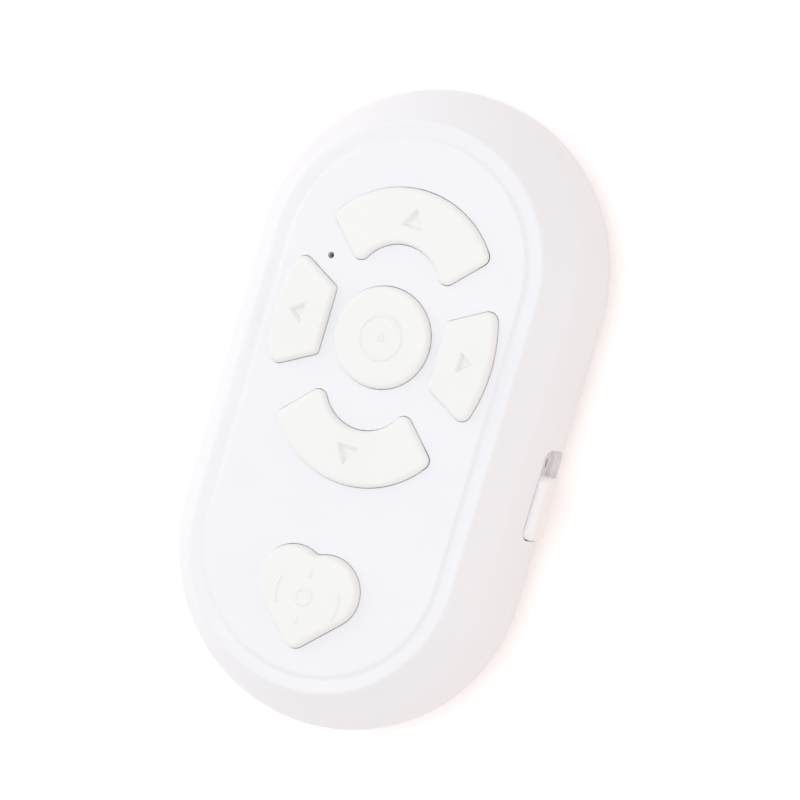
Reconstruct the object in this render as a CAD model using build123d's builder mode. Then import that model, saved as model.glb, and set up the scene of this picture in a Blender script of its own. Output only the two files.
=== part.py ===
from build123d import *
import os
from collections import namedtuple
from math import atan, radians, sin, sqrt, tan

os.makedirs("parts", exist_ok=True)

# A pocket remote for a phone camera: an oval two-part shell with six keys on its
# face and a power slider in its right-hand wall. All sizes are in millimetres.
# The origin is the middle of the flat back, +Z points out of the key face and
# +Y points to the end with the arrow keys.

# Shell
body_length = 70.0
body_width = 39.0
face_height = 12.4
shell_wall = 1.6
face_wall = 1.5
floor_wall = 1.5
back_edge_radius = 3.0
parting_height = 3.4
parting_bevel = 0.12
waist_height = 3.55
knee_height = 6.77
crest_radius = 0.55
plate_width = 26.4
groove_depth = 0.3
groove_inner_slope = 0.5
groove_outer_slope = 1.4
groove_radius = 0.45
tongue_thickness = 0.7
tongue_height = 1.2
tongue_gap = 0.1
catch_length = 2.4
catch_depth = 0.3
catch_end_margin = 0.1
catch_gap = 0.05

# Circuit board and what holds it
board_underside = 5.6
board_thickness = 1.0
board_margin = 1.1
post_diameter = 3.6
post_margin = 4.6
post_upper = 20.0
post_lower = -15.0
screw_core = 1.7
screw_gap = 0.05
screw_hole_gap = 0.25
screw_depth = 3.2
screw_head_diameter = 3.2
screw_head_height = 0.9
hold_down_diameter = 2.4
hold_down_gap = 0.1
hold_down_margin = 2.65
hold_down_y = -3.0
hold_down_end_across = 16.0
hold_down_end_margin = 5.3

# Keys
pad_center = 7.66
key_gap = 0.12
key_rise = 0.85
key_wall = 1.0
key_roof = 1.1
key_crown_radius = 120.0
key_edge_radius = 0.5
flange_reach = 0.7
narrow_flange_reach = 0.3
flange_thickness = 0.8
flange_gap = 0.1
stem_diameter = 3.0
select_key_radius = 5.32
arc_key_center = 5.15
arc_key_inner = 4.87
arc_key_outer = 10.68
arc_key_apex = 1.82
arc_key_side_angle = 45.0
arc_key_corner = 0.9
side_key_inner = 6.5
side_key_outer = 12.4
side_key_radius = 17.5
side_key_angle = 29.0
side_key_corner = 1.0
side_key_inner_corner = 0.5
heart_rise = 1.1
heart_lobe_radius = 3.78
heart_lobe_offset = 1.93
heart_lobe_rise = 1.1
heart_tip_radius = 1.3
heart_tip_drop = 4.32
heart_notch_radius = 1.2
heart_from_end = 14.4
least_corner = 0.3

# Tact switches under the keys
tact_length = 4.2
tact_width = 3.2
tact_height = 1.5
plunger_diameter = 2.0
plunger_gap = 0.05
plunger_rise = 0.6
plunger_depth = 0.6
key_travel = 0.25
tact_floor_gap = 0.1
tact_pin_length = 0.9
tact_pin_width = 0.6
tact_pin_height = 0.25
switch_corner = 0.25

# Power slider in the right-hand wall
slot_length = 9.9
slot_center = -3.55
slot_bottom = 2.55
slot_top = 6.75
slot_corner = 1.1
slot_wall = 1.1
slot_recess = 0.7
slot_sill = 0.35
knob_length = 6.9
knob_gap = 0.2
knob_corner = 0.9
knob_proud = 0.65
knob_edge_radius = 0.35
slider_travel = 2.4
slider_end_gap = 0.15
slider_plate_thickness = 0.8
slider_plate_length = 14.4
slider_plate_margin = 0.25
slider_plate_gap = 0.1
slider_pocket_gap = 0.15
mark_length = 1.3
mark_width = 0.8
mark_depth = 0.4
mark_from_slot_end = 1.65
mark_drop = 1.0
lever_width = 1.6
lever_height = 1.4
lever_gap = 0.1
lever_fit = 0.05
lever_end_gap = 0.2
lever_reach = 1.6
lever_foot = 2.0
slide_case_length = 8.6
slide_case_depth = 4.2
slide_case_drop = 2.7
slide_case_gap = 2.05
slide_case_wall = 0.6

# Charging socket in the end wall
socket_width = 8.94
socket_height = 3.16
socket_depth = 7.3
socket_metal = 0.3
socket_inset = 1.0
socket_gap = 0.25
socket_blade_width = 6.7
socket_blade_thickness = 0.7
socket_blade_length = 4.6
socket_blade_gap = 0.02

# Battery
cell_length = 28.0
cell_side_gap = 1.25
cell_thickness = 3.6
cell_center = -3.0
cell_edge_radius = 1.2
cell_top_radius = 0.9
tape_thickness = 0.25
tape_length = 22.0
tape_width = 14.0
lead_diameter = 0.9
lead_spread = 3.0
lead_run = 3.2
lead_bend = 1.35

# Small components on the board
pinhole_diameter = 0.7
pinhole_x = -8.17
pinhole_y = 14.31
light_length = 1.6
light_width = 0.9
light_height = 0.5
light_lens_radius = 0.35
chip_size = 5.0
chip_height = 0.85
crystal_length = 3.2
crystal_width = 2.5
crystal_height = 0.8
crystal_x = 6.2
antenna_length = 7.0
antenna_width = 2.0
antenna_height = 0.9
antenna_from_end = 2.2
charger_length = 3.0
charger_width = 1.7
charger_height = 1.1
charger_x = -5.0
charger_from_socket = 4.2
chip_bevel = 0.1
foot_length = 0.5
foot_width = 0.35
foot_height = 0.2
capacitor_length = 1.0
capacitor_width = 0.5
capacitor_pitch = 1.3
capacitor_count = 4

# Heights and reaches that follow from the sizes above
half_width = body_width / 2
spine_half = (body_length - body_width) / 2
plate_half = plate_width / 2
ceiling = face_height - face_wall
cavity_half = half_width - shell_wall
board_top = board_underside + board_thickness
tact_top = board_top + tact_height
plunger_top = tact_top + plunger_rise
flange_top = ceiling - flange_gap
flange_bottom = flange_top - flange_thickness
arc_key_middle = (arc_key_inner + arc_key_outer) / 2
side_key_length = side_key_outer - side_key_inner
side_key_middle = (side_key_inner + side_key_outer) / 2
board_half = cavity_half - board_margin
end_wall = spine_half + half_width

# The side wall leans in above the waist until it meets the groove's outer slope
crest_x = plate_half + groove_inner_slope + groove_outer_slope
crest_z = face_height
lean = atan((half_width - crest_x) / (crest_z - knee_height))
side_radius = (knee_height - waist_height) / tan(lean / 2)
inner_knee_z = knee_height - shell_wall * tan(lean / 2)
inner_crest_x = cavity_half - (ceiling - inner_knee_z) * tan(lean)
inner_side_radius = (inner_knee_z - waist_height) / tan(lean / 2)
floor_radius = back_edge_radius - floor_wall


def near(shape, x, y):
    """The vertex of a flat shape that lies nearest to a point."""
    return shape.vertices().sort_by_distance((x, y, 0))[0]


def run_round(section, mode=Mode.ADD):
    """Carry a half section, drawn outwards and upwards, round the oval of the shell."""
    with BuildSketch(Plane.XZ) as across:
        add(section.sketch)
        mirror(about=Plane.YZ)
    extrude(across.sketch, amount=spine_half, both=True, mode=mode)
    for end in (-1, 1):
        with BuildSketch(Plane.XZ.offset(-end * spine_half)) as half:
            add(section.sketch)
        turn = Axis((0, end * spine_half, 0), (0, 0, end))
        revolve(half.sketch, axis=turn, revolution_arc=180, mode=mode)


def oval(reach):
    """An oval in the current sketch that stands a given reach out from the spine."""
    SlotCenterToCenter(2 * spine_half, 2 * reach, rotation=90)


def finish(piece, label):
    """Name a finished piece and write it out."""
    piece.part.label = label
    export_step(piece.part, f"parts/{label}.step")


# Half section of the whole closed shell, from its middle out to its side
with BuildSketch() as shell_section:
    with BuildLine():
        Polyline(
            (0, 0),
            (half_width, 0),
            (half_width, knee_height),
            (crest_x, crest_z),
            (plate_half + groove_inner_slope, face_height - groove_depth),
            (plate_half, face_height),
            (0, face_height),
            close=True,
        )
    make_face()
    fillet(near(shell_section, half_width, 0), back_edge_radius)
    fillet(near(shell_section, half_width, knee_height), side_radius)
    fillet(near(shell_section, crest_x, crest_z), crest_radius)
    fillet(near(shell_section, plate_half + groove_inner_slope, face_height - groove_depth), groove_radius)
    fillet(near(shell_section, plate_half, face_height), groove_radius)

# Half section of the room inside it
with BuildSketch() as cavity_section:
    with BuildLine():
        Polyline(
            (0, floor_wall),
            (cavity_half, floor_wall),
            (cavity_half, inner_knee_z),
            (inner_crest_x, ceiling),
            (0, ceiling),
            close=True,
        )
    make_face()
    fillet(near(cavity_section, cavity_half, floor_wall), floor_radius)
    fillet(near(cavity_section, cavity_half, inner_knee_z), inner_side_radius)

# The shell section is split at the parting line, with a fine bevel on each edge
with BuildSketch() as front_section:
    add(shell_section.sketch)
    with Locations((0, parting_height)):
        Rectangle(half_width, face_height, align=(Align.MIN, Align.MAX), mode=Mode.SUBTRACT)
    chamfer(near(front_section, half_width, parting_height), parting_bevel)

with BuildSketch() as rear_section:
    add(shell_section.sketch)
    with Locations((0, parting_height)):
        Rectangle(half_width, face_height, align=(Align.MIN, Align.MIN), mode=Mode.SUBTRACT)
    chamfer(near(rear_section, half_width, parting_height), parting_bevel)

# The rear cover's tongue stands inside the front cover's thin lip
with BuildSketch() as tongue_section:
    with Locations((cavity_half, parting_height)):
        Rectangle(tongue_thickness, tongue_height, align=(Align.MIN, Align.MIN))

with BuildSketch() as tongue_room_section:
    with Locations((cavity_half - shell_wall, parting_height)):
        Rectangle(
            shell_wall + tongue_thickness + tongue_gap,
            tongue_height + tongue_gap,
            align=(Align.MIN, Align.MIN),
        )


def select_key_shape(inset):
    """The round key's outline about its stem, drawn in by an inset."""
    with BuildSketch() as shape:
        Circle(select_key_radius - inset)
    return shape.sketch


def arc_key_shape(inset):
    """An arc-shaped arrow key's outline, with the pad's centre towards -Y."""
    apex_y = arc_key_apex - arc_key_center - arc_key_middle + inset / sin(radians(arc_key_side_angle))
    side_x = body_width * tan(radians(arc_key_side_angle))
    with BuildSketch() as shape:
        with Locations((0, -arc_key_middle)):
            Circle(arc_key_outer - inset)
            Circle(arc_key_inner + inset, mode=Mode.SUBTRACT)
        with BuildLine():
            Polyline((0, apex_y), (side_x, apex_y + body_width), (-side_x, apex_y + body_width), close=True)
        make_face(mode=Mode.INTERSECT)
        fillet(shape.vertices(), max(arc_key_corner - inset, least_corner))
    return shape.sketch


def side_key_shape(inset):
    """A four-sided arrow key's outline, with the pad's centre towards -X."""
    apex_x = inset / sin(radians(side_key_angle)) - side_key_middle
    side_y = body_width * tan(radians(side_key_angle))
    with BuildSketch() as shape:
        with Locations((side_key_length / 2 - side_key_radius, 0)):
            Circle(side_key_radius - inset)
        with BuildLine():
            Polyline((apex_x, 0), (apex_x + body_width, side_y), (apex_x + body_width, -side_y), close=True)
        make_face(mode=Mode.INTERSECT)
        with Locations((inset - side_key_length / 2, 0)):
            Rectangle(body_width, body_width, align=(Align.MIN, Align.CENTER), mode=Mode.INTERSECT)
        fillet(shape.vertices().group_by(Axis.X)[-1], max(side_key_corner - inset, least_corner))
        fillet(shape.vertices().group_by(Axis.X)[0], max(side_key_inner_corner - inset, least_corner))
    return shape.sketch


def heart_key_shape(inset):
    """The heart's outline about its stem, from two lobes and a rounded tip."""
    lobe_radius = heart_lobe_radius - inset
    with BuildSketch() as shape:
        with Locations((heart_lobe_offset, heart_lobe_rise)):
            Circle(lobe_radius)
        with Locations((0, -heart_tip_drop)):
            Circle(heart_tip_radius - inset)
        make_hull()
        mirror(about=Plane.YZ)
        notch_y = heart_lobe_rise + sqrt(lobe_radius**2 - heart_lobe_offset**2)
        fillet(near(shape, 0, notch_y), heart_notch_radius + inset)
    return shape.sketch


# Each key: its outline, the place of its stem, its turn about it, its rise above
# the face, and how far its flange reaches towards and away from a close neighbour
Key = namedtuple("Key", "draw place turn rise flange_low flange_high")
arc_key_reach = arc_key_center + arc_key_middle
side_flange = side_key_length / 2 + narrow_flange_reach
select_flange = select_key_radius + narrow_flange_reach
uncut = body_width
keys = {
    "up_key": Key(arc_key_shape, (0, pad_center + arc_key_reach), 0, key_rise, uncut, uncut),
    "down_key": Key(arc_key_shape, (0, pad_center - arc_key_reach), 180, key_rise, uncut, uncut),
    "left_key": Key(side_key_shape, (-side_key_middle, pad_center), 180, key_rise, side_flange, uncut),
    "right_key": Key(side_key_shape, (side_key_middle, pad_center), 0, key_rise, side_flange, uncut),
    "select_key": Key(select_key_shape, (0, pad_center), 0, key_rise, select_flange, select_flange),
    "heart_key": Key(heart_key_shape, (0, heart_from_end - end_wall), 0, heart_rise, uncut, uncut),
}

# Places along the power slider
slot_height = slot_top - slot_bottom
knob_height = slot_height - 2 * knob_gap
slider_z = (slot_top + slot_bottom) / 2
slider_rest = slot_center - slot_length / 2 + slider_end_gap + knob_length / 2
slider_middle = slider_rest + slider_travel / 2
slider_plate_x = half_width - slot_wall - slider_plate_gap
slider_plate_height = slot_height + 2 * slider_plate_margin
slider_neck = slot_wall - slot_recess + 2 * slider_plate_gap
slider_back_x = slider_plate_x - slider_plate_thickness
slide_case_x = slider_back_x - slide_case_gap
slide_case_z = board_underside - slide_case_drop / 2
slot_room = slider_plate_length + slider_travel + 2 * slider_end_gap
cell_width = 2 * (slide_case_x - slide_case_depth - cell_side_gap)

# Places of the charging socket
socket_mouth = socket_inset - end_wall
socket_back = socket_mouth + socket_depth
socket_z = board_underside - socket_height / 2
socket_plane = Plane((0, socket_mouth, socket_z), x_dir=(1, 0, 0), z_dir=(0, -1, 0))

# Places of the screws, the hold-downs, the catches and the radio chip
screw_places = [(side * (board_half - post_margin), y) for side in (-1, 1) for y in (post_lower, post_upper)]
chip_y = (keys["down_key"].place[1] + keys["heart_key"].place[1]) / 2
hold_down_end_y = spine_half + board_half - hold_down_end_margin
hold_down_rows = ((slide_case_x - hold_down_margin, hold_down_y), (hold_down_end_across / 2, hold_down_end_y))
hold_down_places = [(side * x, y) for side in (-1, 1) for x, y in hold_down_rows]
catch_y = spine_half - catch_length / 2 - catch_end_margin
catch_places = [(side, y) for side in (-1, 1) for y in (-catch_y, catch_y)]


def cut_side_openings():
    """Cut the slider's slot, recess and pocket and the socket's opening into a cover's walls."""
    inside_x = cavity_half - shell_wall
    side_plane = Plane((inside_x, 0, slider_z), x_dir=(0, 1, 0), z_dir=(1, 0, 0))
    with BuildSketch(side_plane) as slot:
        with Locations((slot_center, slot_sill / 2)):
            RectangleRounded(slot_length, slot_height - slot_sill, slot_corner)
    extrude(slot.sketch, amount=2 * shell_wall + knob_proud, mode=Mode.SUBTRACT)
    with BuildSketch(side_plane.offset(half_width - slot_recess - inside_x)) as recess:
        with Locations((slot_center, 0)):
            RectangleRounded(slot_length, slot_height, slot_corner)
    extrude(recess.sketch, amount=slot_recess + knob_proud, mode=Mode.SUBTRACT)
    with BuildSketch(side_plane) as pocket:
        with Locations((slider_middle, 0)):
            RectangleRounded(slot_room, slider_plate_height + 2 * slider_pocket_gap, knob_corner)
    extrude(pocket.sketch, amount=half_width - slot_wall - inside_x, mode=Mode.SUBTRACT)
    with BuildSketch(socket_plane.offset(-socket_depth)) as mouth:
        height = socket_height + 2 * socket_gap
        RectangleRounded(socket_width + 2 * socket_gap, height, height / 2 - socket_metal)
    extrude(mouth.sketch, amount=2 * socket_depth, mode=Mode.SUBTRACT)


def catches(reach, length, mode):
    """Half-round snap ridges, or their grooves, along the straight sides of the tongue."""
    for side, y in catch_places:
        face_x = side * (cavity_half + tongue_thickness)
        ridge_plane = Plane((face_x, y, parting_height + tongue_height / 2), z_dir=(0, 1, 0))
        with BuildSketch(ridge_plane) as ridge:
            Circle(reach)
        extrude(ridge.sketch, amount=length / 2, both=True, mode=mode)


with BuildPart() as front_cover:
    run_round(front_section)
    run_round(cavity_section, mode=Mode.SUBTRACT)
    run_round(tongue_room_section, mode=Mode.SUBTRACT)
    with BuildSketch(Plane.XY.offset(board_top + hold_down_gap)):
        with Locations(*hold_down_places):
            Circle(hold_down_diameter / 2)
    extrude(amount=ceiling + face_wall / 2 - board_top - hold_down_gap)
    for key in keys.values():
        with BuildSketch(Plane.XY.offset(flange_top)):
            with Locations(key.place):
                add(key.draw(0), rotation=key.turn)
            offset(amount=key_gap)
        extrude(amount=2 * face_wall, mode=Mode.SUBTRACT)
    with BuildSketch(Plane.XY.offset(flange_top)):
        with Locations((pinhole_x, pinhole_y)):
            Circle(pinhole_diameter / 2)
    extrude(amount=2 * face_wall, mode=Mode.SUBTRACT)
    cut_side_openings()
    catches(catch_depth + catch_gap, catch_length + 2 * catch_gap, Mode.SUBTRACT)

finish(front_cover, "front_cover")

with BuildPart() as rear_cover:
    run_round(rear_section)
    run_round(cavity_section, mode=Mode.SUBTRACT)
    run_round(tongue_section)
    catches(catch_depth, catch_length, Mode.ADD)
    with BuildSketch(Plane.XY.offset(floor_wall)):
        with Locations(*screw_places):
            Circle(post_diameter / 2)
    extrude(amount=board_underside - floor_wall)
    with BuildSketch(Plane.XY.offset(board_underside)):
        with Locations(*screw_places):
            Circle(screw_core / 2 + screw_gap)
    extrude(amount=-screw_depth - screw_gap, mode=Mode.SUBTRACT)
    cut_side_openings()

finish(rear_cover, "rear_cover")

with BuildPart() as circuit_board:
    with BuildSketch(Plane.XY.offset(board_underside)):
        oval(board_half)
        with Locations((slide_case_x, slider_middle)):
            Rectangle(body_width, slot_room, align=(Align.MIN, Align.CENTER), mode=Mode.SUBTRACT)
        with Locations(*screw_places):
            Circle(screw_core / 2 + screw_hole_gap, mode=Mode.SUBTRACT)
    extrude(amount=board_thickness)

finish(circuit_board, "circuit_board")

with BuildPart() as board_screws:
    with BuildSketch(Plane.XY.offset(board_top)):
        with Locations(*screw_places):
            Circle(screw_head_diameter / 2)
    extrude(amount=screw_head_height)
    with BuildSketch(Plane.XY.offset(board_top)):
        with Locations(*screw_places):
            Circle(screw_core / 2)
    extrude(amount=-board_thickness - screw_depth)

finish(board_screws, "board_screws")


def flange_shape(key):
    """A key's flange about its stem, cut straight where a neighbour is close."""
    with BuildSketch() as shape:
        add(key.draw(0))
        offset(amount=flange_reach)
        with Locations(((key.flange_high - key.flange_low) / 2, 0)):
            Rectangle(key.flange_high + key.flange_low, body_length, mode=Mode.INTERSECT)
    return shape.sketch


def make_key(key):
    """A hollow cap with a crowned top, a trimmed flange inside the cover and a central stem."""
    top = face_height + key.rise
    with BuildPart() as cap:
        with BuildSketch(Plane.XY.offset(flange_bottom)):
            with Locations(key.place):
                add(key.draw(0), rotation=key.turn)
        extrude(amount=top - flange_bottom)
        with Locations((*key.place, top - key_crown_radius)):
            Sphere(key_crown_radius, mode=Mode.INTERSECT)
        fillet(cap.faces().sort_by(Axis.Z)[-1].edges(), key_edge_radius)
        with BuildSketch(Plane.XY.offset(flange_bottom)):
            with Locations(key.place):
                add(flange_shape(key), rotation=key.turn)
        extrude(amount=flange_thickness)
        with BuildSketch(Plane.XY.offset(flange_bottom)):
            with Locations(key.place):
                add(key.draw(key_wall), rotation=key.turn)
        extrude(amount=top - key_roof - flange_bottom, mode=Mode.SUBTRACT)
        with BuildSketch(Plane.XY.offset(plunger_top)):
            with Locations(key.place):
                Circle(stem_diameter / 2)
        extrude(amount=top - key_roof / 2 - plunger_top)
    return cap


def make_tact_switch(place):
    """The soldered case of a tact switch, with the bore that its plunger runs in."""
    with BuildPart() as case:
        with BuildSketch(Plane.XY.offset(board_top)):
            with Locations(place):
                Rectangle(tact_length, tact_width)
        extrude(amount=tact_height)
        fillet(case.edges().filter_by(Axis.Z), switch_corner)
        with BuildSketch(Plane.XY.offset(board_top)):
            with Locations(place):
                with GridLocations(tact_length + tact_pin_length, tact_width - tact_pin_width, 2, 2):
                    Rectangle(tact_pin_length, tact_pin_width)
        extrude(amount=tact_pin_height)
        with BuildSketch(Plane.XY.offset(tact_top)):
            with Locations(place):
                Circle(plunger_diameter / 2 + plunger_gap)
        extrude(amount=-plunger_depth - key_travel - tact_floor_gap, mode=Mode.SUBTRACT)
    return case


def make_plunger(place):
    """The round plunger that a key's stem presses into its tact switch."""
    with BuildPart() as plunger:
        with BuildSketch(Plane.XY.offset(tact_top - plunger_depth)):
            with Locations(place):
                Circle(plunger_diameter / 2)
        extrude(amount=plunger_depth + plunger_rise)
    return plunger


for label, key in keys.items():
    finish(make_key(key), label)
    finish(make_tact_switch(key.place), label.replace("_key", "_tact_switch"))
    finish(make_plunger(key.place), label.replace("_key", "_plunger"))

# The knob rides in the slot above its sill, and its wide plate slides behind the wall
with BuildPart() as slider_knob:
    knob_plane = Plane((slider_plate_x, slider_rest, slider_z), x_dir=(0, 1, 0), z_dir=(1, 0, 0))
    with BuildSketch(knob_plane.offset(slider_neck)):
        RectangleRounded(knob_length, knob_height, knob_corner)
    extrude(amount=half_width + knob_proud - slider_plate_x - slider_neck)
    fillet(slider_knob.faces().sort_by(Axis.X)[-1].edges(), knob_edge_radius)
    with BuildSketch(knob_plane):
        with Locations((0, slot_sill / 2)):
            RectangleRounded(knob_length, knob_height - slot_sill, knob_corner)
    extrude(amount=slider_neck)
    with BuildSketch(knob_plane):
        RectangleRounded(slider_plate_length, slider_plate_height, knob_corner)
    extrude(amount=-slider_plate_thickness)
    with BuildSketch(knob_plane):
        with Locations((slot_center + slot_length / 2 - mark_from_slot_end - slider_rest, -mark_drop)):
            SlotOverall(mark_length, mark_width)
    extrude(amount=-mark_depth, mode=Mode.SUBTRACT)
    with BuildSketch(knob_plane.offset(-slider_plate_thickness)):
        with Locations((0, slide_case_z - slider_z)):
            Rectangle(lever_width + 2 * lever_fit, lever_height + 2 * lever_fit)
    extrude(amount=lever_reach + lever_fit, mode=Mode.SUBTRACT)

finish(slider_knob, "slider_knob")

# The lever of the slide switch reaches from inside its case into the knob
lever_room = slider_travel + 2 * lever_end_gap
with BuildPart() as slide_lever:
    with BuildSketch(Plane.YZ.offset(slide_case_x - lever_foot)):
        with Locations((slider_rest, slide_case_z)):
            Rectangle(lever_width, lever_height)
    extrude(amount=slider_back_x + lever_reach - slide_case_x + lever_foot)

finish(slide_lever, "slide_lever")

with BuildPart() as slide_switch_case:
    with BuildSketch(Plane.XY.offset(board_underside)):
        with Locations((slide_case_x, slider_middle)):
            Rectangle(slide_case_depth, slide_case_length, align=(Align.MAX, Align.CENTER))
    extrude(amount=-slide_case_drop)
    fillet(slide_switch_case.edges().filter_by(Axis.Z), switch_corner)
    with BuildSketch(Plane.YZ.offset(slide_case_x)):
        with Locations((slider_middle, slide_case_z)):
            Rectangle(lever_width + lever_room, lever_height + 2 * lever_gap)
    extrude(amount=-slide_case_depth + slide_case_wall, mode=Mode.SUBTRACT)

finish(slide_switch_case, "slide_switch_case")

# Charging socket: a folded metal shell round a plastic contact blade
with BuildPart() as socket_shell:
    with BuildSketch(socket_plane):
        RectangleRounded(socket_width, socket_height, socket_height / 2 - socket_metal)
    extrude(amount=-socket_depth)
    with BuildSketch(socket_plane):
        inner_height = socket_height - 2 * socket_metal
        RectangleRounded(socket_width - 2 * socket_metal, inner_height, inner_height / 2 - socket_metal)
    extrude(amount=-socket_depth, mode=Mode.SUBTRACT)

finish(socket_shell, "socket_shell")

with BuildPart() as socket_blade:
    with BuildSketch(socket_plane.offset(-socket_depth)):
        base_height = socket_height - 2 * socket_metal - 2 * socket_blade_gap
        base_width = socket_width - 2 * socket_metal - 2 * socket_blade_gap
        RectangleRounded(base_width, base_height, base_height / 2 - socket_metal)
    extrude(amount=socket_depth - socket_metal - socket_blade_length)
    with BuildSketch(socket_plane.offset(-socket_depth)):
        Rectangle(socket_blade_width, socket_blade_thickness)
    extrude(amount=socket_depth - socket_metal)
    fillet(socket_blade.faces().sort_by(Axis.Y)[0].edges(), socket_blade_thickness / 4)

finish(socket_blade, "socket_blade")

# The pouch cell lies on a foam tape on the floor, and two leads join it to the board
cell_bottom = floor_wall + tape_thickness
with BuildPart() as foam_tape:
    with BuildSketch(Plane.XY.offset(floor_wall)):
        with Locations((0, cell_center)):
            RectangleRounded(tape_width, tape_length, cell_edge_radius)
    extrude(amount=tape_thickness)

finish(foam_tape, "foam_tape")

with BuildPart() as battery_cell:
    with BuildSketch(Plane.XY.offset(cell_bottom)):
        with Locations((0, cell_center)):
            RectangleRounded(cell_width, cell_length, cell_edge_radius)
    extrude(amount=cell_thickness)
    fillet(battery_cell.faces().sort_by(Axis.Z)[-1].edges(), cell_top_radius)

finish(battery_cell, "battery_cell")

lead_z = cell_bottom + cell_thickness / 2
lead_start = cell_center + cell_length / 2
with BuildPart() as battery_leads:
    for side in (-1, 1):
        x = side * lead_spread / 2
        with BuildLine() as route:
            FilletPolyline(
                (x, lead_start, lead_z),
                (x, lead_start + lead_run, lead_z),
                (x, lead_start + lead_run, board_underside),
                radius=lead_bend,
            )
        with BuildSketch(Plane((x, lead_start, lead_z), z_dir=(0, 1, 0))):
            Circle(lead_diameter / 2)
        sweep(path=route.line)

finish(battery_leads, "battery_leads")

# Status light under its pinhole
with BuildPart() as status_light:
    with BuildSketch(Plane.XY.offset(board_top)):
        with Locations((pinhole_x, pinhole_y)):
            Rectangle(light_length, light_width)
    extrude(amount=light_height)
    with Locations((pinhole_x, pinhole_y, board_top + light_height)):
        Sphere(light_lens_radius)

finish(status_light, "status_light")


def make_chip(length, width, height, place, foot_count=0, below=False):
    """A moulded chip on the board, with a row of feet along each long side."""
    seat = board_underside if below else board_top
    upward = -1 if below else 1
    with BuildPart() as chip:
        with BuildSketch(Plane.XY.offset(seat)):
            with Locations(place):
                Rectangle(length, width)
        extrude(amount=upward * height)
        far_face = chip.faces().sort_by(Axis.Z)[0 if below else -1]
        chamfer(far_face.edges(), chip_bevel)
        if foot_count:
            with BuildSketch(Plane.XY.offset(seat)):
                with Locations(place):
                    with GridLocations(length / foot_count, width + foot_length, foot_count, 2):
                        Rectangle(foot_width, foot_length)
            extrude(amount=upward * foot_height)
    return chip


finish(make_chip(chip_size, chip_size, chip_height, (0, chip_y), foot_count=6), "radio_chip")
finish(make_chip(crystal_length, crystal_width, crystal_height, (crystal_x, chip_y)), "clock_crystal")
antenna_place = (0, spine_half + board_half - antenna_from_end - antenna_width / 2)
finish(make_chip(antenna_length, antenna_width, antenna_height, antenna_place), "chip_antenna")
charger_place = (charger_x, socket_back + charger_from_socket)
charge_controller = make_chip(charger_length, charger_width, charger_height, charger_place, 3, below=True)
finish(charge_controller, "charge_controller")

with BuildPart() as capacitors:
    with BuildSketch(Plane.XY.offset(board_top)):
        with Locations((-crystal_x, chip_y)):
            with GridLocations(2 * capacitor_pitch, capacitor_pitch, 2, capacitor_count):
                Rectangle(capacitor_length, capacitor_width)
    extrude(amount=capacitor_width)

finish(capacitors, "capacitors")
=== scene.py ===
from math import cos, pi, radians, sin
from typing import NamedTuple

import bmesh
import bpy
import numpy as np
from mathutils import Matrix, Vector
from mathutils.geometry import delaunay_2d_cdt


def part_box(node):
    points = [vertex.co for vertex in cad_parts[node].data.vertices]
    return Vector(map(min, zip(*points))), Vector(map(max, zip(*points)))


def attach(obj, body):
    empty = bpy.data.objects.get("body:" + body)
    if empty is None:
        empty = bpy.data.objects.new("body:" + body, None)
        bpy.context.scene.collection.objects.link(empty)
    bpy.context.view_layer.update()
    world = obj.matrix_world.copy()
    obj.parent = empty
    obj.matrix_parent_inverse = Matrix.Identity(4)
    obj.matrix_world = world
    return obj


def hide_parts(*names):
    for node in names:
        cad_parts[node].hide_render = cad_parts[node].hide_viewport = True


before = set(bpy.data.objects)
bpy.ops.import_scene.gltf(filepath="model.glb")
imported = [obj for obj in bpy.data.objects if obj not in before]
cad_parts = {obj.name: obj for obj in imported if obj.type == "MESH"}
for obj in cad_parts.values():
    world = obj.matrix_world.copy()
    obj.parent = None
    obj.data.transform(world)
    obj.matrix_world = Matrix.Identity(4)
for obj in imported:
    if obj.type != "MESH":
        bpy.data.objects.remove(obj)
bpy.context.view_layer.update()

# A pocket remote for a phone camera, lying on its back on a white table. Lengths are
# in metres. +Z points out of the key face and +Y to the end with the arrow keys.
mm = 0.001

# Camera: its place, the directions of its right and lower side, its lens and sensor in
# millimetres, and the nearest and farthest point that it sees
camera_place = Vector((103.64, 22.87, 284.64)) * mm
camera_right = Vector((0.893625, 0.281863, -0.349267))
camera_down = Vector((0.288998, -0.956771, -0.032703))
camera_lens = 126.0
camera_sensor = 36.0
camera_near = 1 * mm
camera_far = 10.0

# Table
floor_half = 2.0
floor_drop = 0.01 * mm
floor_color = (0.92, 0.88, 0.87)
floor_rough = 0.9
floor_glow = 0.26


class Lamp(NamedTuple):
    """A square lamp that faces the object: its place in degrees, its width and its power in watts."""
    azimuth: float
    height: float
    width: float
    power: float
    color: tuple


# Light
ambient_strength = 0.806
ambient_color = (1.0, 0.962, 0.925)
lamp_distance = 0.8
lamps = {
    "key_light": Lamp(166, 24, 0.75, 1.2, (1.0, 1.0, 1.0)),
    "fill_light": Lamp(0, 20, 0.5, 0.60, (1.0, 0.762, 0.680)),
    "top_light": Lamp(180, 80, 0.5, 1.33, (0.625, 0.796, 1.0)),
}


class Finish(NamedTuple):
    """A surface: two tones that cloud into each other, its roughness, its grain and its metal share."""
    tone: tuple
    tone_b: tuple
    rough: float
    grain_size: float
    grain_depth: float
    metallic: float = 0.0


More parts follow.
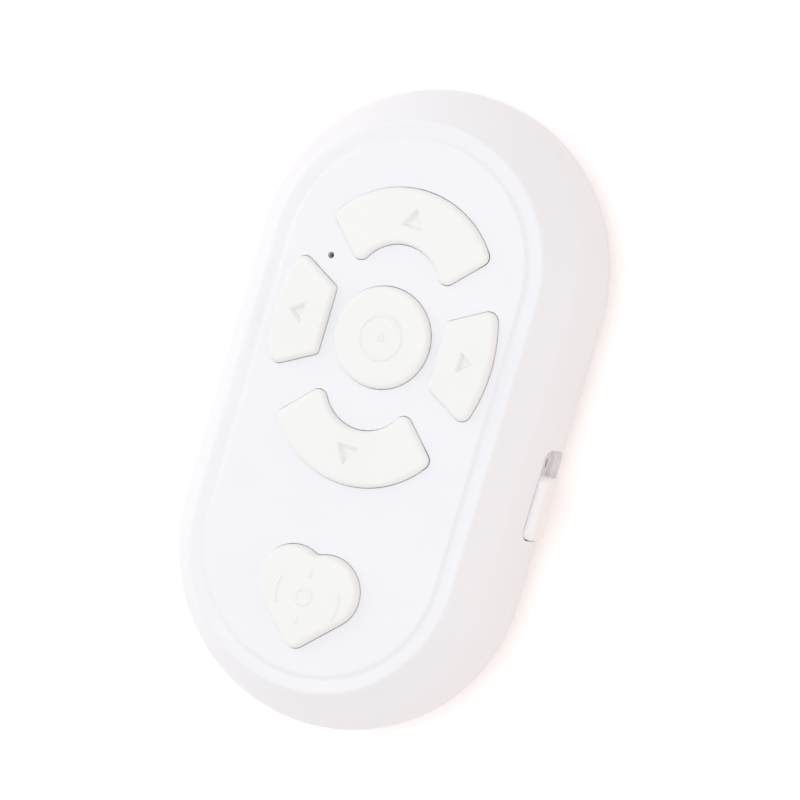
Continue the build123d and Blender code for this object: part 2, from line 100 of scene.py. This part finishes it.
# Finishes
finishes = {
    "shell_plastic": Finish((0.885, 0.880, 0.905), (0.895, 0.888, 0.910), 0.42, 0.12 * mm, 0.012 * mm),
    "key_plastic": Finish((0.890, 0.888, 0.868), (0.900, 0.897, 0.877), 0.46, 0.10 * mm, 0.010 * mm),
    # Painted light: the slider's tone is raised above the shell's to make up for the shade that the body
    # casts on the knob
    "slider_plastic": Finish((0.925, 0.900, 0.900), (0.935, 0.910, 0.908), 0.45, 0.10 * mm, 0.010 * mm),
    # Painted shade: the dark tone of the oval that stands in for the shade of the slot's open end
    "slot_shade_paint": Finish((0.10, 0.03, 0.04), (0.14, 0.05, 0.06), 0.45, 0.10 * mm, 0.006 * mm),
    "board_laminate": Finish((0.010, 0.105, 0.045), (0.014, 0.125, 0.055), 0.35, 0.30 * mm, 0.010 * mm),
    "switch_black": Finish((0.018, 0.018, 0.020), (0.028, 0.028, 0.030), 0.50, 0.10 * mm, 0.008 * mm),
    "plunger_plastic": Finish((0.035, 0.035, 0.038), (0.050, 0.048, 0.050), 0.45, 0.10 * mm, 0.006 * mm),
    "plated_steel": Finish((0.60, 0.60, 0.61), (0.66, 0.66, 0.66), 0.30, 0.20 * mm, 0.004 * mm, 1.0),
    "socket_plastic": Finish((0.022, 0.022, 0.024), (0.034, 0.034, 0.036), 0.50, 0.10 * mm, 0.006 * mm),
    "cell_foil": Finish((0.55, 0.56, 0.58), (0.63, 0.63, 0.65), 0.40, 0.60 * mm, 0.030 * mm, 0.9),
    "lead_jacket": Finish((0.52, 0.02, 0.02), (0.60, 0.03, 0.03), 0.45, 0.20 * mm, 0.006 * mm),
    "tape_foam": Finish((0.70, 0.69, 0.66), (0.80, 0.79, 0.76), 0.90, 0.15 * mm, 0.050 * mm),
    "chip_resin": Finish((0.020, 0.020, 0.022), (0.034, 0.034, 0.036), 0.60, 0.08 * mm, 0.008 * mm),
    "chip_ceramic": Finish((0.42, 0.36, 0.28), (0.52, 0.45, 0.36), 0.55, 0.10 * mm, 0.006 * mm),
    "light_lens": Finish((0.80, 0.82, 0.70), (0.86, 0.87, 0.76), 0.20, 0.20 * mm, 0.002 * mm),
}

keys = [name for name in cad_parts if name.endswith("_key")]
tact_cases = [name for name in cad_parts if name.endswith("_tact_switch")]
plungers = [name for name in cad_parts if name.endswith("_plunger")]

# The CAD nodes that wear each finish
wearers = {
    "shell_plastic": ["front_cover", "rear_cover"],
    "key_plastic": keys,
    "board_laminate": ["circuit_board"],
    "switch_black": [*tact_cases, "slide_switch_case", "slide_lever"],
    "plunger_plastic": plungers,
    "plated_steel": ["board_screws", "socket_shell", "clock_crystal"],
    "socket_plastic": ["socket_blade"],
    "cell_foil": ["battery_cell"],
    "lead_jacket": ["battery_leads"],
    "tape_foam": ["foam_tape"],
    "chip_resin": ["radio_chip", "charge_controller"],
    "chip_ceramic": ["chip_antenna", "capacitors"],
    "light_lens": ["status_light"],
}

# The noise in every finish: clouds of tone, patches of wear and the grain. A scale is in
# waves per metre, and a range is the part of the noise that is used. Wear moves the
# roughness up or down by wear_rough.
cloud_scale = 90.0
cloud_detail = 3.0
cloud_range = (0.35, 0.65)
wear_scale = 420.0
wear_detail = 4.0
wear_range = (0.3, 0.7)
wear_rough = 0.05
grain_detail = 2.0
grain_strength = 0.5


def add_node(tree, kind, **settings):
    """A new node whose settings are its properties, and whose inputs are given by name."""
    node = tree.nodes.new(kind)
    inputs = settings.pop("inputs", {})
    for name, value in settings.items():
        setattr(node, name, value)
    for name, value in inputs.items():
        if isinstance(value, bpy.types.NodeSocket):
            tree.links.new(value, node.inputs[name])
        else:
            node.inputs[name].default_value = value
    return node


def new_material(name):
    """A new material, its node tree and its shader."""
    material = bpy.data.materials.new(name)
    material.use_nodes = True
    return material, material.node_tree, material.node_tree.nodes["Principled BSDF"]


def noise(tree, place, scale, detail):
    """An even noise through space."""
    inputs = {"Vector": place, "Scale": scale, "Detail": detail}
    return add_node(tree, "ShaderNodeTexNoise", inputs=inputs).outputs["Fac"]


def spread(tree, value, old, new):
    """A value carried from one range to another."""
    inputs = {"Value": value, "From Min": old[0], "From Max": old[1], "To Min": new[0], "To Max": new[1]}
    return add_node(tree, "ShaderNodeMapRange", inputs=inputs).outputs["Result"]


def mix_colors(tree, factor, color_a, color_b):
    """The colour between two others."""
    mix = add_node(tree, "ShaderNodeMix", data_type="RGBA")
    tree.links.new(factor, mix.inputs["Factor"])
    mix.inputs["A"].default_value = (*color_a, 1)
    mix.inputs["B"].default_value = (*color_b, 1)
    return mix.outputs["Result"]


def moulded(name, finish):
    """A material with clouded tone, uneven gloss and a fine grain, all of real size."""
    material, tree, shader = new_material(name)
    shader.inputs["Metallic"].default_value = finish.metallic
    place = add_node(tree, "ShaderNodeTexCoord").outputs["Object"]
    tone_share = spread(tree, noise(tree, place, cloud_scale, cloud_detail), cloud_range, (0.0, 1.0))
    tone = mix_colors(tree, tone_share, finish.tone, finish.tone_b)
    tree.links.new(tone, shader.inputs["Base Color"])
    rough_range = (finish.rough - wear_rough, finish.rough + wear_rough)
    rough = spread(tree, noise(tree, place, wear_scale, wear_detail), wear_range, rough_range)
    tree.links.new(rough, shader.inputs["Roughness"])
    grain = noise(tree, place, 1 / finish.grain_size, grain_detail)
    bump_inputs = {"Strength": grain_strength, "Distance": finish.grain_depth, "Height": grain}
    bump = add_node(tree, "ShaderNodeBump", inputs=bump_inputs)
    tree.links.new(bump.outputs["Normal"], shader.inputs["Normal"])
    return material


materials = {name: moulded(name, finish) for name, finish in finishes.items()}
for finish_name, nodes in wearers.items():
    for node_name in nodes:
        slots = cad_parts[node_name].data.materials
        slots.clear()
        slots.append(materials[finish_name])


# Pieces that are made here: vertices closer than this are one, and an edge that turns by
# more degrees than this stays sharp
merge_distance = 0.001 * mm
sharp_angle = 35


def add_object(name, data):
    """A new object in the scene."""
    piece = bpy.data.objects.new(name, data)
    bpy.context.scene.collection.objects.link(piece)
    return piece


def add_piece(name, body, finish, rides, replaced=None):
    """Put a finished mesh into the scene on its CAD body, in place of a CAD node if one is named."""
    bmesh.ops.recalc_face_normals(body, faces=body.faces)
    mesh = bpy.data.meshes.new(name)
    body.to_mesh(mesh)
    body.free()
    mesh.shade_smooth()
    mesh.set_sharp_from_angle(angle=radians(sharp_angle))
    mesh.materials.append(materials[finish])
    piece = add_object(name, mesh)
    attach(piece, rides)
    if replaced:
        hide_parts(replaced)


def copy_of(name):
    """A copy of a CAD node's mesh, with its doubled vertices merged."""
    body = bmesh.new()
    body.from_mesh(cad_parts[name].data)
    bmesh.ops.remove_doubles(body, verts=body.verts, dist=merge_distance)
    return body


def cut_off(body, place, outward):
    """Take away what lies beyond a plane."""
    everything = body.verts[:] + body.edges[:] + body.faces[:]
    bmesh.ops.bisect_plane(body, geom=everything, plane_co=place, plane_no=outward, clear_outer=True)


def ordered_rim(body):
    """The vertices round an open edge, in order."""
    rim = {}
    for vertex in body.verts:
        if vertex.is_boundary:
            rim[vertex] = [edge.other_vert(vertex) for edge in vertex.link_edges if edge.is_boundary]
    loop = [next(iter(rim))]
    loop.append(rim[loop[0]][0])
    while len(loop) < len(rim):
        loop.append(next(v for v in rim[loop[-1]] if v is not loop[-2]))
    return loop


def bridge(body, lower, upper):
    """Faces between two rings that have as many vertices."""
    for i in range(len(lower)):
        body.faces.new([lower[i - 1], lower[i], upper[i], upper[i - 1]])


# Keycaps: the moulded tops, with their rounded shoulders. Their rim stands out from the
# node's wall by the draft.
crown_radius = 120.0 * mm
cap_cut_above_face = 0.08 * mm
cap_draft = 0.06 * mm
shoulder_width = 0.45 * mm

# The caps' mesh: rings of points along the shoulder, a coarse grid inside it and a fine
# one at the sign. A ring's point stays where it keeps that share of its inset from the rim.
# The triangulation's kind of output is a number, and its margin is in millimetres.
rim_step = 0.25 * mm
shoulder_rings = 8
inset_share = 0.97
grid_margin = 0.85 * shoulder_width
fine_step = 0.09 * mm
coarse_steps = 3
sign_margin = 0.35 * mm
faces_inside_only = 1
triangulation_margin = 1e-5

# Signs: the arrows are sunk, and the lines on the round and the heart-shaped key are
# raised. An arrow is given by the distances of its base and apex from the pad's centre
# and by half its base. A bracket is given by its direction, its radius and half its angle.
arrow_depth = 0.50 * mm
arrow_slope = 0.42 * mm
arc_arrow = (11.7 * mm, 14.1 * mm, 1.35 * mm)
side_arrow = (9.0 * mm, 10.8 * mm, 1.3 * mm)
sign_height = 0.12 * mm
stroke_width = 0.24 * mm
stroke_steepness = 1.5
arc_steps = 24
select_ring = 2.3 * mm
select_ring_steps = 48
select_dot = 0.3 * mm
reticle_ring = 0.85 * mm
reticle_brackets = ((0, 3.9 * mm, 19), (180, 3.2 * mm, 24))
tick_near = 2.3 * mm
tick_far = 2.9 * mm


def centre_of(name):
    """The middle of a CAD node, seen from above."""
    low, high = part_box(name)
    return np.array([(low[0] + high[0]) / 2, (low[1] + high[1]) / 2])


pad_centre = centre_of("select_plunger")
heart_centre = centre_of("heart_plunger")


def distance_to_lines(points, lines):
    """The distance of each point from the nearest of many straight segments."""
    nearest = np.full(len(points), np.inf)
    for start, end in lines:
        along = end - start
        share = np.clip((points - start) @ along / (along @ along), 0, 1)
        offset = points - start - share[:, None] * along
        nearest = np.minimum(nearest, np.hypot(offset[:, 0], offset[:, 1]))
    return nearest


def smooth(value):
    """An S-shaped ramp from 0 to 1."""
    value = np.clip(value, 0, 1)
    return value * value * (3 - 2 * value)


def closed(points):
    """The segments of a closed line through some points."""
    return [(points[i - 1], points[i]) for i in range(len(points))]


def arc(centre, radius, start, end, steps=arc_steps):
    """The segments of an arc between two angles in degrees."""
    angles = [radians(start + (end - start) * i / steps) for i in range(steps + 1)]
    points = [centre + radius * np.array([cos(a), sin(a)]) for a in angles]
    return [(points[i], points[i + 1]) for i in range(steps)]


def arrow_sign(outward, base, apex, half_width):
    """A sunk arrow that points away from the pad: the lines to refine round, and its depth anywhere."""
    outward = np.array(outward, float)
    sideways = np.array([-outward[1], outward[0]])
    corners = [
        pad_centre + outward * apex,
        pad_centre + outward * base + sideways * half_width,
        pad_centre + outward * base - sideways * half_width,
    ]

    def depth(points):
        inside = np.full(len(points), np.inf)
        for start, end in closed(corners):
            along = (end - start) / np.linalg.norm(end - start)
            inward = np.array([-along[1], along[0]])
            inside = np.minimum(inside, (points - start) @ inward)
        return -arrow_depth * smooth(inside / arrow_slope)

    lines = closed(corners) + [(corner, sum(corners) / 3) for corner in corners]
    return lines, depth


def raised_sign(lines):
    """A raised line sign: the lines to refine round, and its height anywhere."""

    def height(points):
        closeness = 1 - distance_to_lines(points, lines) / stroke_width
        return sign_height * smooth(stroke_steepness * closeness)

    return lines, height


def select_lines():
    """A ring with a dot in it."""
    ring = arc(pad_centre, select_ring, 0, 360, select_ring_steps)
    return ring + arc(pad_centre, select_dot, 0, 360)


def reticle_lines():
    """A ring between two brackets and two ticks."""
    lines = arc(heart_centre, reticle_ring, 0, 360)
    for side, reach, half_angle in reticle_brackets:
        lines += arc(heart_centre, reach, side - half_angle, side + half_angle)
    for way in (np.array([0.0, -1.0]), np.array([0.0, 1.0])):
        lines.append((heart_centre + way * tick_near, heart_centre + way * tick_far))
    return lines


signs = {
    "up_key": arrow_sign((0, 1), *arc_arrow),
    "down_key": arrow_sign((0, -1), *arc_arrow),
    "left_key": arrow_sign((-1, 0), *side_arrow),
    "right_key": arrow_sign((1, 0), *side_arrow),
    "select_key": raised_sign(select_lines()),
    "heart_key": raised_sign(reticle_lines()),
}


def cut_below(name, height):
    """A copy of a CAD node below a level cut, and the vertices round the cut in order."""
    body = copy_of(name)
    cut_off(body, (0, 0, height), (0, 0, 1))
    for edge in [edge for edge in body.edges if edge.is_boundary]:
        extra = int(edge.calc_length() / rim_step)
        if extra:
            bmesh.ops.subdivide_edges(body, edges=[edge], cuts=extra)
    loop = ordered_rim(body)
    area = sum(a.co.x * b.co.y - b.co.x * a.co.y for a, b in zip(loop, loop[1:] + loop[:1]))
    return body, loop if area > 0 else loop[::-1]


def inward_of(outline):
    """The direction into an outline at each of its points."""
    along = np.roll(outline, -1, axis=0) - np.roll(outline, 1, axis=0)
    return np.column_stack([-along[:, 1], along[:, 0]]) / np.hypot(along[:, 0], along[:, 1])[:, None]


def is_inside(points, lines):
    """Whether each point lies inside a closed line."""
    inside = np.zeros(len(points), bool)
    for start, end in lines:
        crosses = (start[1] > points[:, 1]) != (end[1] > points[:, 1])
        if crosses.any():
            at = start[0] + (points[:, 1] - start[1]) * (end[0] - start[0]) / (end[1] - start[1])
            inside ^= crosses & (points[:, 0] < at)
    return inside


def shoulder_points(outline):
    """Rings of points along a cap's shoulder, closer together near its rim."""
    lines = closed(outline)
    inward = inward_of(outline)
    rings = []
    for ring in range(1, shoulder_rings):
        inset = shoulder_width * (ring / shoulder_rings) ** 2
        points = outline + inward * inset
        rings.append(points[distance_to_lines(points, lines) > inset_share * inset])
    return np.vstack(rings)


def grid_points(outline, sign_lines):
    """A staggered grid of points inside a cap's shoulder, finer at the sign."""
    lines = closed(outline)
    low, high = outline.min(axis=0), outline.max(axis=0)
    columns, rows = np.ceil((high - low) / fine_step).astype(int)
    column, row = np.meshgrid(np.arange(columns), np.arange(rows), indexing="ij")
    x = low[0] + (column + 0.5 * (row // coarse_steps % 2) * coarse_steps) * fine_step
    y = low[1] + row * fine_step
    grid = np.column_stack([x.ravel(), y.ravel()])
    coarse = ((column % coarse_steps == 0) & (row % coarse_steps == 0)).ravel()
    near_sign = distance_to_lines(grid, sign_lines) < sign_margin
    grid = grid[coarse | near_sign]
    grid = grid[is_inside(grid, lines)]
    return grid[distance_to_lines(grid, lines) > grid_margin]


def make_keycap(name):
    """A keycap as in the frame up to the face, with a finely moulded top above it."""
    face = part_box("front_cover")[1][2]
    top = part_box(name)[1][2]
    cut = face + cap_cut_above_face
    stem = centre_of(name.replace("_key", "_plunger"))
    sign_lines, relief = signs[name]
    body, rim = cut_below(name, cut)
    outline = np.array([v.co.xy for v in rim])
    outline -= inward_of(outline) * cap_draft
    for vertex, place in zip(rim, outline):
        vertex.co.xy = place
    points = np.vstack([outline, shoulder_points(outline), grid_points(outline, sign_lines)])
    flat = [Vector(point / mm) for point in points]
    edges = [(i, (i + 1) % len(rim)) for i in range(len(rim))]
    triangulated = delaunay_2d_cdt(flat, edges, [], faces_inside_only, triangulation_margin)
    places, _, faces, origins, _, _ = triangulated
    places = np.array(places) * mm
    crown = top - ((places - stem) ** 2).sum(axis=1) / (2 * crown_radius)
    share = np.clip(distance_to_lines(places, closed(outline)) / shoulder_width, 0, 1)
    heights = cut + (crown - cut) * np.sqrt(1 - (1 - share) ** 2) + relief(places) * (share == 1)
    corners = []
    for place, height, origin in zip(places, heights, origins):
        on_rim = [i for i in origin if i < len(rim)]
        corners.append(rim[on_rim[0]] if on_rim else body.verts.new((*place, height)))
    for face_corners in faces:
        body.faces.new([corners[i] for i in face_corners])
    add_piece(name + "_cap", body, "key_plastic", name.replace("_key", "_button"), name)


# Slider: the head's crown is a superellipse of this power, and the outer face of the
# plate moves towards the wall
plate_thickness = 0.8 * mm
plate_closer = 0.075 * mm
head_crown = 0.7 * mm
head_crown_steps = 12
head_crown_power = 3.6

# Painted shade: a dark oval on the slider's plate that stands in for the shade of the slot's
# open end. Each level is a share of half its thickness, with the inset of the oval there.
shade_oval_length = 1.2 * mm
shade_oval_width = 0.7 * mm
shade_oval_thickness = 0.35 * mm
shade_oval_above_back = 0.4 * mm
shade_oval_from_end = 2.55 * mm
shade_oval_below_middle = 1.0 * mm
shade_oval_levels = ((-1, 0.0), (0.4, 0.0), (1, 0.05 * mm))
shade_oval_steps = 32


def crown_head(body, rim, top):
    """Close the slider's open head with rings that narrow to its spine as they rise."""
    low = np.min([v.co[:] for v in rim], axis=0)
    high = np.max([v.co[:] for v in rim], axis=0)
    middle_z = (low[2] + high[2]) / 2
    half_height = (high[2] - low[2]) / 2
    ring = rim
    for step in range(1, head_crown_steps):
        turn = pi / 2 * step / head_crown_steps
        share = cos(turn) ** (2 / head_crown_power)
        rise = sin(turn) ** (2 / head_crown_power)
        inner = []
        for vertex in rim:
            spine_y = np.clip(vertex.co.y, low[1] + half_height, high[1] - half_height)
            y = spine_y + (vertex.co.y - spine_y) * share
            z = middle_z + (vertex.co.z - middle_z) * share
            inner.append(body.verts.new((top - head_crown + head_crown * rise, y, z)))
        bridge(body, ring, inner)
        ring = inner
    body.faces.new(ring)
    rise_short = top - ring[0].co.x
    for vertex in ring:
        vertex.co.x += rise_short


def make_slider_knob():
    """The slider as in the frame, with a softly crowned head and its plate close behind the wall."""
    low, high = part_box("slider_knob")
    body = copy_of("slider_knob")
    for vertex in body.verts:
        if abs(vertex.co.x - low[0] - plate_thickness) < merge_distance:
            vertex.co.x += plate_closer
    cut_off(body, (high[0] - head_crown, 0, 0), (1, 0, 0))
    crown_head(body, ordered_rim(body), high[0])
    # The head wears the slider's tone with its painted light, which makes up for the body's shade
    add_piece("slider_cap", body, "slider_plastic", "power_slider", "slider_knob")


def make_slider_shade_oval():
    """Painted shade: a dark oval set into the dimple of the slider's plate, for the shade of the slot's
    open end.
    """
    low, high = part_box("slider_knob")
    x = low[0] + shade_oval_above_back + shade_oval_thickness / 2
    z = (low[2] + high[2]) / 2 - shade_oval_below_middle
    middle = Vector((x, high[1] - shade_oval_from_end, z))
    body = bmesh.new()
    rings = []
    for level, inset in shade_oval_levels:
        ring = []
        for i in range(shade_oval_steps):
            angle = 2 * pi * (i + 0.5) / shade_oval_steps
            reach = shade_oval_width / 2 - inset
            y = cos(angle) * reach + (shade_oval_length - shade_oval_width) / 2 * (1 if cos(angle) > 0 else -1)
            place = Vector((level * shade_oval_thickness / 2, y, sin(angle) * reach))
            ring.append(body.verts.new(middle + place))
        rings.append(ring)
    for lower, upper in zip(rings, rings[1:]):
        bridge(body, lower, upper)
    body.faces.new(rings[0])
    body.faces.new(rings[-1])
    # The oval wears the painted shade and rides with the slider
    add_piece("slider_shade_oval", body, "slot_shade_paint", "power_slider")


for key_name in keys:
    make_keycap(key_name)
make_slider_knob()
make_slider_shade_oval()


# Stage
def rays_that_see(tree):
    """1 for rays that see the background: the camera's, and those by which gloss and glass show it."""
    path = add_node(tree, "ShaderNodeLightPath")
    seen = path.outputs["Is Camera Ray"]
    for name in ("Is Glossy Ray", "Is Transmission Ray"):
        larger = add_node(tree, "ShaderNodeMath", operation="MAXIMUM")
        tree.links.new(seen, larger.inputs[0])
        tree.links.new(path.outputs[name], larger.inputs[1])
        seen = larger.outputs["Value"]
    return seen


def make_floor():
    """A white table that shows as plain white and keeps the object's shadow."""
    mesh = bpy.data.meshes.new("floor")
    corners = [(x * floor_half, y * floor_half, 0) for x, y in ((-1, -1), (1, -1), (1, 1), (-1, 1))]
    mesh.from_pydata(corners, [], [(0, 1, 2, 3)])
    floor = add_object("floor", mesh)
    floor.location.z = -floor_drop
    material, tree, shader = new_material("floor_white")
    shader.inputs["Base Color"].default_value = (*floor_color, 1)
    shader.inputs["Roughness"].default_value = floor_rough
    shader.inputs["Specular IOR Level"].default_value = 0.0
    glow_strength = spread(tree, rays_that_see(tree), (0.0, 1.0), (0.0, floor_glow))
    glow = add_node(tree, "ShaderNodeEmission", inputs={"Strength": glow_strength})
    both = add_node(tree, "ShaderNodeAddShader")
    tree.links.new(shader.outputs["BSDF"], both.inputs[0])
    tree.links.new(glow.outputs["Emission"], both.inputs[1])
    tree.links.new(both.outputs["Shader"], tree.nodes["Material Output"].inputs["Surface"])
    mesh.materials.append(material)


def make_world():
    """An even room light that shows as plain white where it is seen."""
    world = bpy.data.worlds.new("room")
    bpy.context.scene.world = world
    world.use_nodes = True
    tree = world.node_tree
    tree.nodes.clear()
    room_inputs = {"Color": (*ambient_color, 1), "Strength": ambient_strength}
    room = add_node(tree, "ShaderNodeBackground", inputs=room_inputs)
    white = add_node(tree, "ShaderNodeBackground", inputs={"Color": (1, 1, 1, 1), "Strength": 1.0})
    mix = add_node(tree, "ShaderNodeMixShader")
    tree.links.new(rays_that_see(tree), mix.inputs["Fac"])
    tree.links.new(room.outputs["Background"], mix.inputs[1])
    tree.links.new(white.outputs["Background"], mix.inputs[2])
    out = add_node(tree, "ShaderNodeOutputWorld")
    tree.links.new(mix.outputs["Shader"], out.inputs["Surface"])


def make_lamp(name, lamp):
    """A lamp in its place on a sphere round the object."""
    around, up = radians(lamp.azimuth), radians(lamp.height)
    light = bpy.data.lights.new(name, "AREA")
    light.shape = "SQUARE"
    light.size = lamp.width
    light.energy = lamp.power
    light.color = lamp.color
    holder = add_object(name, light)
    holder.location = Vector((cos(around) * cos(up), sin(around) * cos(up), sin(up))) * lamp_distance
    holder.rotation_euler = holder.location.to_track_quat("Z", "Y").to_euler()


def make_camera():
    """The camera at the photograph's place and angle."""
    camera = bpy.data.cameras.new("camera")
    camera.lens = camera_lens
    camera.sensor_width = camera_sensor
    camera.clip_start = camera_near
    camera.clip_end = camera_far
    holder = add_object("camera", camera)
    back = camera_right.cross(-camera_down)
    turn = Matrix((camera_right, -camera_down, back)).transposed()
    holder.matrix_world = Matrix.Translation(camera_place) @ turn.to_4x4()
    bpy.context.scene.camera = holder


make_floor()
make_world()
for lamp_name, lamp in lamps.items():
    make_lamp(lamp_name, lamp)
make_camera()
bpy.context.scene.view_settings.view_transform = "Standard"
